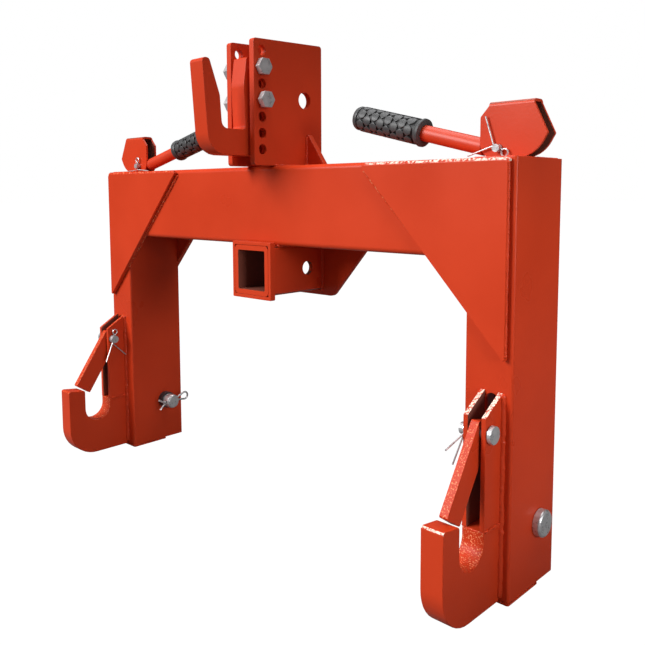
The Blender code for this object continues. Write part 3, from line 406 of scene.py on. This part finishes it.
DRESSED = {node: dress(node) for node in sorted(NODES) if not node.startswith("grip")}


# Flame cut edges, with pale specks painted in as glints of light

# How far a face's normal leans, as a share of 1
EDGE_FACING = 0.6
SLANT = 0.3
NEARLY_LEVEL = 0.95
SLOT_OVERHANG = -0.1
# Where the covers' and the hook's edges lie
COVER_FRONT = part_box("latch_cover_outer_right")[0].y
SLOT_FRONT = -0.0722
SLOT_FLOOR = 0.054
SLOT_MARGIN = 0.001
TIP_HEIGHT = 0.104


def across(normal):
    """Whether a face runs across the plate's thickness, as a cut edge does."""
    return abs(normal.x) < EDGE_FACING


def on_cover_slope(centre, normal):
    return across(normal) and normal.z > SLANT and normal.y < -SLANT


def on_latch_bar(centre, normal):
    return across(normal) and centre.y < COVER_FRONT


def in_hook_slot(centre, normal):
    between = SLOT_FRONT - SLOT_MARGIN < centre.y < COVER_FRONT + SLOT_MARGIN
    return across(normal) and between and centre.z > SLOT_FLOOR and normal.z > SLOT_OVERHANG


def on_hook_tip(centre, normal):
    return across(normal) and centre.z > TIP_HEIGHT and SLANT < normal.z < NEARLY_LEVEL and normal.y < 0


for side, sign in SIDES:
    # The right side, nearer the camera, gets the whiter painted glints
    glint_edge = CUT_EDGE_WHITE_GLINTS if side == "right" else CUT_EDGE_PALE_GLINTS
    for cover in ("inner", "outer"):
        finish_faces(DRESSED[f"latch_cover_{cover}_{side}"], glint_edge, on_cover_slope)
    finish_faces(DRESSED[f"latch_{side}"], CUT_EDGE_PALE_GLINTS, on_latch_bar)
    finish_faces(DRESSED[f"lower_hook_{side}"], CUT_EDGE_PALE_GLINTS, in_hook_slot)
    finish_faces(DRESSED[f"lower_hook_{side}"], glint_edge, on_hook_tip)


# Insides and faces between parts, painted darker as shade

X, Y, Z = range(3)
INSIDE = 0.001


def shade_inside(node, axis):
    """Gives the darker finish, painted shade, to the faces across an axis that lie inside the piece's box."""
    low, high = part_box(node)
    finish_faces(
        DRESSED[node],
        PAINTED_SHADE,
        lambda centre, normal: abs(normal[axis]) > EDGE_FACING
        and low[axis] + INSIDE < centre[axis] < high[axis] - INSIDE,
    )


for side, sign in SIDES:
    shade_inside(f"cam_bracket_{side}", Y)
    # The covers' faces that look into the gap between them get painted shade
    for cover, towards in (("inner", sign), ("outer", -sign)):
        finish_faces(
            DRESSED[f"latch_cover_{cover}_{side}"],
            PAINTED_SHADE,
            lambda centre, normal: normal.x * towards > EDGE_FACING,
        )
for axis in (X, Z):
    shade_inside("receiver_tube", axis)


# Weld beads: ripples laid one on the next, then run together

RIPPLE_SIDES = 8
RIPPLE_RINGS = 5
RIPPLE_SHAPE = (0.85, 1, 0.9)
RIPPLE_PITCH_SHARE = 0.6
RIPPLE_SIZES = (0.85, 1.1)
RIPPLE_WANDER = 0.1
RIPPLE_LEANS = (0.1, 0.3)
BEAD_SKIN_SHARE = 0.3
BEAD_SOFTENING = 0.5
WELD_SEED = 7


def make_ripple():
    """One ripple of a weld bead, of about unit radius: a ball pressed a little flat along and off the seam."""
    bpy.ops.object.select_all(action="DESELECT")
    bpy.ops.mesh.primitive_uv_sphere_add(segments=RIPPLE_SIDES, ring_count=RIPPLE_RINGS, radius=1)
    ripple = bpy.context.active_object
    bpy.ops.object.mode_set(mode="EDIT")
    bpy.ops.mesh.select_all(action="SELECT")
    bpy.ops.transform.resize(value=RIPPLE_SHAPE)
    bpy.ops.object.mode_set(mode="OBJECT")
    return ripple


RIPPLE = make_ripple()


def weld(name, body, seams, radius, material=WELD_PAINT):
    """A bead along each seam, which is its two ends and the direction that the bead faces."""
    dice = random.Random(WELD_SEED)
    shape = bmesh.new()
    for start, end, facing in seams:
        start, end = Vector(start), Vector(end)
        along = (end - start).normalized()
        aside = Vector(facing).cross(along).normalized()
        turn = Matrix((along, aside, along.cross(aside))).transposed().to_4x4()
        count = max(2, round((end - start).length / (radius * RIPPLE_PITCH_SHARE)))
        for step in range(count + 1):
            size = radius * dice.uniform(*RIPPLE_SIZES)
            place = start.lerp(end, step / count) + aside * radius * dice.uniform(-RIPPLE_WANDER, RIPPLE_WANDER)
            lean = Matrix.Rotation(dice.uniform(*RIPPLE_LEANS), 4, "Y")
            copy = RIPPLE.data.copy()
            copy.transform(Matrix.Translation(place) @ turn @ lean @ Matrix.Scale(size, 4))
            shape.from_mesh(copy)
            bpy.data.meshes.remove(copy)
    mesh = bpy.data.meshes.new(name)
    shape.to_mesh(mesh)
    shape.free()
    bead = bpy.data.objects.new(name, mesh)
    bpy.context.scene.collection.objects.link(bead)
    skin = bead.modifiers.new("skin", "REMESH")
    skin.mode = "VOXEL"
    skin.voxel_size = radius * BEAD_SKIN_SHARE
    soften = bead.modifiers.new("soften", "SMOOTH")
    soften.factor = BEAD_SOFTENING
    soften.iterations = 1
    apply_modifiers(bead)
    select_only(bead)
    bpy.ops.object.shade_smooth()
    paint_with(bead, material)
    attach(bead, body)


# Bead radii, and how far a bead starts or stops from the corner of its piece
GUSSET_BEAD = 0.003
GUSSET_EDGE_BEAD = 0.0018
GUSSET_FOOT_BEAD = 0.0026
COVER_BEAD = 0.0042
COVER_FOOT_BEAD = 0.0018
MAST_BEAD = 0.0026
RECEIVER_BEAD = 0.003
CAP_BEAD = 0.0012
SHORT_STOP = 0.004
LONG_STOP = 0.006
GUSSET_TOP_STOP = 0.005
GUSSET_TOP_RISE = 0.0002
GUSSET_TOP_PROUD = 0.0024
GUSSET_EDGE_STOP = 0.002
GUSSET_EDGE_PROUD = 0.0034
COVER_FOOT_STOP = 0.002
MAST_REAR_STOP = 0.003
TUBE_LOW, TUBE_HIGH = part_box("cross_tube")
LEG_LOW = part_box("leg_right")[0]


def weld_gusset(node, sign, front):
    """The bead over the top edge, with painted glints, the one down the leg's corner, and a fine one under the long
    edge, also with painted glints.
    """
    low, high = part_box(node)
    face, facing = (high.y, -1) if front else (low.y, 1)
    outer, inner = (high.x, low.x) if sign > 0 else (low.x, high.x)
    depth, height = face + facing * GUSSET_TOP_PROUD, high.z + GUSSET_TOP_RISE
    top = ((inner + sign * GUSSET_TOP_STOP, depth, height), (outer, depth, height), (0, facing, 1))
    # The top bead's painted glints are whiter on the right side
    weld(f"weld_top_{node}", "frame", [top], GUSSET_BEAD, WELD_WHITE_GLINTS if sign > 0 else WELD_PALE_GLINTS)
    depth = face + facing * GUSSET_EDGE_PROUD
    edge = (
        (outer, depth, high.z - GUSSET_EDGE_STOP),
        (outer, depth, low.z + SHORT_STOP),
        (sign, facing, 0),
    )
    weld(f"weld_edge_{node}", "frame", [edge], GUSSET_EDGE_BEAD)
    foot = (
        (inner, face, high.z - LONG_STOP),
        (outer - sign * SHORT_STOP, face, low.z + LONG_STOP),
        (-sign, facing, -1),
    )
    weld(f"weld_foot_{node}", "frame", [foot], GUSSET_FOOT_BEAD, WELD_PALE_GLINTS)


def weld_hook(side, sign):
    """Down both sides of the covers and the hook at the leg's front face, and under each cover."""
    seams, feet = [], []
    front = LEG_LOW.y
    for cover in ("inner", "outer"):
        low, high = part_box(f"latch_cover_{cover}_{side}")
        outward = sign if cover == "outer" else -sign
        flank = high.x if outward > 0 else low.x
        seams.append(
            ((flank, front, high.z - SHORT_STOP), (flank, front, LEG_LOW.z + LONG_STOP), (outward, -1, 0))
        )
        feet.append(
            ((flank, low.y + COVER_FOOT_STOP, low.z), (flank, front - COVER_BEAD, low.z), (outward, 0, 0))
        )
    weld(f"weld_covers_{side}", "frame", seams, COVER_BEAD)
    weld(f"weld_cover_feet_{side}", "frame", feet, COVER_FOOT_BEAD)


def weld_mast():
    """Fillets along the feet of the mast's plates and gussets."""
    seams = []
    for side, sign in SIDES:
        low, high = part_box(f"mast_plate_{side}")
        flank = high.x if sign > 0 else low.x
        seams.append(
            ((flank, TUBE_LOW.y + LONG_STOP, low.z), (flank, high.y - MAST_REAR_STOP, low.z), (sign, 0, 1))
        )
        low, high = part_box(f"mast_gusset_{side}")
        root, tip = (low.x, high.x) if sign > 0 else (high.x, low.x)
        for face, facing in ((low.y, -1), (high.y, 1)):
            seams.append(((root, face, low.z), (tip - sign * SHORT_STOP, face, low.z), (0, facing, 1)))
            seams.append(((root, face, low.z), (root, face, high.z - SHORT_STOP), (sign, facing, 0)))
    weld("weld_mast", "frame", seams, MAST_BEAD)


def weld_receiver():
    """Under the cross tube beside the receiver, behind its collar, and along the plate at its rear."""
    tube_low, tube_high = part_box("receiver_tube")
    collar_low, collar_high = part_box("receiver_collar")
    plate_low, plate_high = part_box("receiver_back_plate")
    under, behind, rear = TUBE_LOW.z, collar_high.y, plate_low.y
    seams = []
    for side, sign in SIDES:
        flank = tube_high.x if sign > 0 else tube_low.x
        corner = plate_high.x if sign > 0 else plate_low.x
        seams += [
            ((flank, TUBE_LOW.y + SHORT_STOP, under), (flank, rear, under), (sign, 0, -1)),
            ((flank, behind, collar_low.z + LONG_STOP), (flank, behind, tube_high.z), (sign, 1, 0)),
            ((flank, rear, tube_low.z), (flank, rear, tube_high.z), (sign, -1, 0)),
            ((flank, rear, under), (corner - sign * SHORT_STOP, rear, under), (0, -1, -1)),
        ]
    weld("weld_receiver", "frame", seams, RECEIVER_BEAD)


def weld_tube_ends():
    """Where the cross tube's underside meets the legs, and round the caps on the legs."""
    seams, rims = [], []
    front, back, under = TUBE_LOW.y + SHORT_STOP, TUBE_HIGH.y - SHORT_STOP, TUBE_LOW.z
    for side, sign in SIDES:
        inner = sign * LEG_LOW.x
        seams.append(((inner, front, under), (inner, back, under), (-sign, 0, -1)))
        low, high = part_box(f"leg_cap_{side}")
        for x in (low.x, high.x):
            rims.append(((x, low.y, high.z), (x, high.y, high.z), (0, 0, 1)))
        rims.append(((low.x, low.y, high.z), (high.x, low.y, high.z), (0, 0, 1)))
    weld("weld_tube_ends", "frame", seams, MAST_BEAD)
    weld("weld_leg_caps", "frame", rims, CAP_BEAD)


for side, sign in SIDES:
    weld_gusset(f"front_gusset_{side}", sign, True)
    weld_gusset(f"rear_gusset_{side}", sign, False)
    weld_hook(side, sign)
weld_mast()
weld_receiver()
weld_tube_ends()
bpy.data.objects.remove(RIPPLE, do_unlink=True)


# Grips: a turned body with raised six sided pads

# The grips' slope, and where the middle of the right one's flange end sits on its rod
GRIP_SLOPE = math.radians(13.8)
GRIP_START = (0.2287, 0.04185, 0.47494)
GRIP_SIDES = 48
GRIP_BORE = 0.0093
GRIP_BORE_DEPTH = 0.004
# Height and radius of each ring, from the end nearest the cam bracket
GRIP_PROFILE = (
    (0, 0.0147),
    (0.0005, 0.0155),
    (0.0028, 0.01575),
    (0.0036, 0.0152),
    (0.0048, 0.0142),
    (0.0066, 0.0139),
    (0.0073, 0.0131),
    (0.0905, 0.0131),
    (0.0914, 0.0139),
    (0.0948, 0.0140),
    (0.0968, 0.0131),
    (0.0981, 0.0113),
    (0.0985, 0.0086),
)
# Where the grooves, painted dark as shade, start and end, and the pads between them: the rows run along the grip,
# and PAD_FIRST has the first pad's height in the even and in the odd ones
GROOVE_SHADE_SPAN = (0.0068, 0.0912)
PAD_SIDES = 6
PAD_ROWS = 14
PADS_IN_ROW = 4
PAD_PITCH = 0.0199
PAD_FIRST = (0.0243, 0.0142)
PAD_RADIUS = 0.0059
PAD_HEIGHT = 0.0014
PAD_SINK = 0.0007
PAD_EDGE = 0.00035
PAD_RING = 0.0132


def make_grip_body():
    """The turned body along +Z: a ring in the bore, drawn out and over to the profile ring by ring."""
    bpy.ops.object.select_all(action="DESELECT")
    bpy.ops.mesh.primitive_circle_add(vertices=GRIP_SIDES, radius=GRIP_BORE, fill_type="NOTHING")
    body = bpy.context.active_object
    bpy.ops.object.mode_set(mode="EDIT")
    bpy.ops.mesh.select_all(action="SELECT")
    bpy.ops.transform.translate(value=(0, 0, GRIP_BORE_DEPTH))
    last_height, last_radius = GRIP_BORE_DEPTH, GRIP_BORE
    for height, radius in ((0, GRIP_BORE), *GRIP_PROFILE):
        bpy.ops.mesh.extrude_region_move(TRANSFORM_OT_translate={"value": (0, 0, height - last_height)})
        ratio = radius / last_radius
        bpy.ops.transform.resize(value=(ratio, ratio, 1), center_override=(0, 0, height))
        last_height, last_radius = height, radius
    bpy.ops.mesh.fill()
    bpy.ops.mesh.select_all(action="SELECT")
    bpy.ops.mesh.remove_doubles(threshold=MERGE)
    bpy.ops.mesh.normals_make_consistent(inside=False)
    bpy.ops.object.mode_set(mode="OBJECT")
    return body


def make_pads():
    """One pad, shaped and bevelled, copied over a flat sheet that is then rolled round Z."""
    bpy.ops.object.select_all(action="DESELECT")
    bpy.ops.mesh.primitive_cylinder_add(
        vertices=PAD_SIDES, radius=PAD_RADIUS, depth=PAD_HEIGHT + PAD_SINK, end_fill_type="TRIFAN"
    )
    pad = bpy.context.active_object
    bpy.ops.object.mode_set(mode="EDIT")
    bpy.ops.mesh.select_all(action="SELECT")
    bpy.ops.mesh.subdivide(number_cuts=1)
    bpy.ops.object.mode_set(mode="OBJECT")
    bevel(pad, PAD_EDGE)
    row_width = 2 * math.pi * PAD_RING / PAD_ROWS
    on_edge, point_along = Matrix.Rotation(math.pi / 2, 4, "X"), Matrix.Rotation(math.pi / 2, 4, "Z")
    sheet = bmesh.new()
    for row in range(PAD_ROWS):
        for step in range(PADS_IN_ROW):
            height = PAD_FIRST[row % 2] + step * PAD_PITCH
            copy = pad.data.copy()
            copy.transform(Matrix.Translation((0, 0, height)) @ on_edge @ point_along)
            copy.transform(Matrix.Translation(((row - PAD_ROWS / 2) * row_width, 0, 0)))
            sheet.from_mesh(copy)
            bpy.data.meshes.remove(copy)
    mesh = bpy.data.meshes.new("pads")
    sheet.to_mesh(mesh)
    sheet.free()
    bpy.data.objects.remove(pad, do_unlink=True)
    for vertex in mesh.vertices:
        out = PAD_RING + (PAD_HEIGHT - PAD_SINK) / 2 - vertex.co.y
        angle = vertex.co.x / PAD_RING
        vertex.co = (out * math.sin(angle), -out * math.cos(angle), vertex.co.z)
    pads = bpy.data.objects.new("pads", mesh)
    bpy.context.scene.collection.objects.link(pads)
    return pads


def make_grip(side, sign):
    """Body and pads as one piece, turned and moved onto the handle rod."""
    body, pads = make_grip_body(), make_pads()
    paint_with(body, RUBBER)
    # The body's faces between the pads get the darker rubber, as painted shade in the grooves
    finish_faces(
        body,
        RUBBER_WITH_GROOVE_SHADE,
        lambda centre, normal: GROOVE_SHADE_SPAN[0] < centre.z < GROOVE_SHADE_SPAN[1] and centre.xy.length > GRIP_BORE,
    )
    paint_with(pads, RUBBER)
    select_only(body, pads)
    bpy.ops.object.join()
    body.name = f"grip_{side}_moulded"
    smooth(body)
    body.matrix_world = Matrix.Translation((sign * GRIP_START[0], *GRIP_START[1:])) @ Matrix.Rotation(
        -sign * (math.pi / 2 - GRIP_SLOPE), 4, "Y"
    )
    apply_place(body)
    node = f"grip_{side}"
    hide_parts(node)
    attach(body, BODY_OF[node])


for side, sign in SIDES:
    make_grip(side, sign)


# Floor, light and camera

WHITE = (1, 1, 1, 1)
FLOOR_SIZE = 60
FLOOR_HEIGHT = -0.0005
FLOOR_DARK = (0.13, 0.13, 0.13)
FLOOR_LIGHT = (0.15, 0.15, 0.15)
FLOOR_GLOW = 1.1
FLOOR_GLOW_SHARE = 0.94
WORLD_FILL = 0.1
# Name, place, target, size, power in watts, and the cone in degrees that the grid in front leaves
SOFTBOXES = (
    ("key", (-1.7, -3.3, 2.4), (0, 0, 0.3), 2.2, 212, 180),
    ("overhead", (0.05, 0.15, 2.1), (0.05, 0.05, 0.3), 1.8, 34, 180),
    ("right_leg", (1.3, -0.2, 0.46), (0.364, 0.04, 0.25), 0.4, 0.48, 44),
    ("inner_fill", (1.8, 0.35, 0.75), (-0.31, 0.05, 0.2), 0.7, 0.24, 40),
)


def make_floor():
    """Pale card, seen by the camera as evenly lit paper."""
    bpy.ops.object.select_all(action="DESELECT")
    bpy.ops.mesh.primitive_plane_add(size=FLOOR_SIZE, location=(0, 0, FLOOR_HEIGHT))
    floor = bpy.context.active_object
    floor.name = "studio_floor"
    material, tree, shader, place = new_material("pale_floor", 0.8, 0)
    tone = spread(tree, noise(tree, place, 0.6, 3.0), *NOISE_SPAN)
    tree.links.new(mix_colours(tree, tone, FLOOR_DARK, FLOOR_LIGHT), shader.inputs["Base Color"])
    shader.inputs["Specular IOR Level"].default_value = 0.1
    paper = add_node(tree, "ShaderNodeEmission")
    paper.inputs["Color"].default_value = WHITE
    paper.inputs["Strength"].default_value = FLOOR_GLOW
    ray = add_node(tree, "ShaderNodeLightPath")
    mix = add_node(tree, "ShaderNodeMixShader")
    out = tree.nodes["Material Output"]
    tree.links.new(spread(tree, ray.outputs["Is Camera Ray"], 0, 1, 0, FLOOR_GLOW_SHARE), mix.inputs["Fac"])
    tree.links.new(shader.outputs["BSDF"], mix.inputs[1])
    tree.links.new(paper.outputs["Emission"], mix.inputs[2])
    tree.links.new(mix.outputs["Shader"], out.inputs["Surface"])
    paint_with(floor, material)


def make_softbox(name, place, target, size, power, cone):
    """A square softbox that faces its target."""
    light = bpy.data.lights.new(name, "AREA")
    light.shape = "SQUARE"
    light.size = size
    light.energy = power
    light.spread = math.radians(cone)
    lamp = bpy.data.objects.new(name, light)
    bpy.context.scene.collection.objects.link(lamp)
    lamp.location = place
    lamp.rotation_euler = (Vector(target) - Vector(place)).to_track_quat("-Z", "Y").to_euler()


def make_background(tree, strength):
    background = add_node(tree, "ShaderNodeBackground")
    background.inputs["Strength"].default_value = strength
    background.inputs["Color"].default_value = WHITE
    return background.outputs["Background"]


def make_world():
    """White to the camera, softer as light."""
    world = bpy.data.worlds.new("studio")
    bpy.context.scene.world = world
    world.use_nodes = True
    tree = world.node_tree
    tree.nodes.clear()
    ray = add_node(tree, "ShaderNodeLightPath")
    mix = add_node(tree, "ShaderNodeMixShader")
    out = add_node(tree, "ShaderNodeOutputWorld")
    tree.links.new(ray.outputs["Is Camera Ray"], mix.inputs["Fac"])
    tree.links.new(make_background(tree, WORLD_FILL), mix.inputs[1])
    tree.links.new(make_background(tree, 1.0), mix.inputs[2])
    tree.links.new(mix.outputs["Shader"], out.inputs["Surface"])


def make_camera():
    """The photograph's camera: its place, its turn, its lens and its off-centre frame."""
    data = bpy.data.cameras.new("camera")
    data.sensor_width = SENSOR
    data.lens = FOCAL_PIXELS / PHOTO_SIZE * SENSOR
    data.shift_x = (PHOTO_SIZE / 2 - PRINCIPAL_POINT[0]) / PHOTO_SIZE
    data.shift_y = (PRINCIPAL_POINT[1] - PHOTO_SIZE / 2) / PHOTO_SIZE
    camera = bpy.data.objects.new("camera", data)
    bpy.context.scene.collection.objects.link(camera)
    camera.location = CAMERA_PLACE
    look = Matrix.Rotation(CAMERA_YAW, 4, "Z") @ Matrix.Rotation(math.pi / 2 - CAMERA_PITCH, 4, "X")
    camera.rotation_euler = (look @ Matrix.Rotation(CAMERA_ROLL, 4, "Z")).to_euler()
    bpy.context.scene.camera = camera


make_floor()
make_world()
for softbox in SOFTBOXES:
    make_softbox(*softbox)
make_camera()
bpy.context.scene.view_settings.view_transform = "Standard"
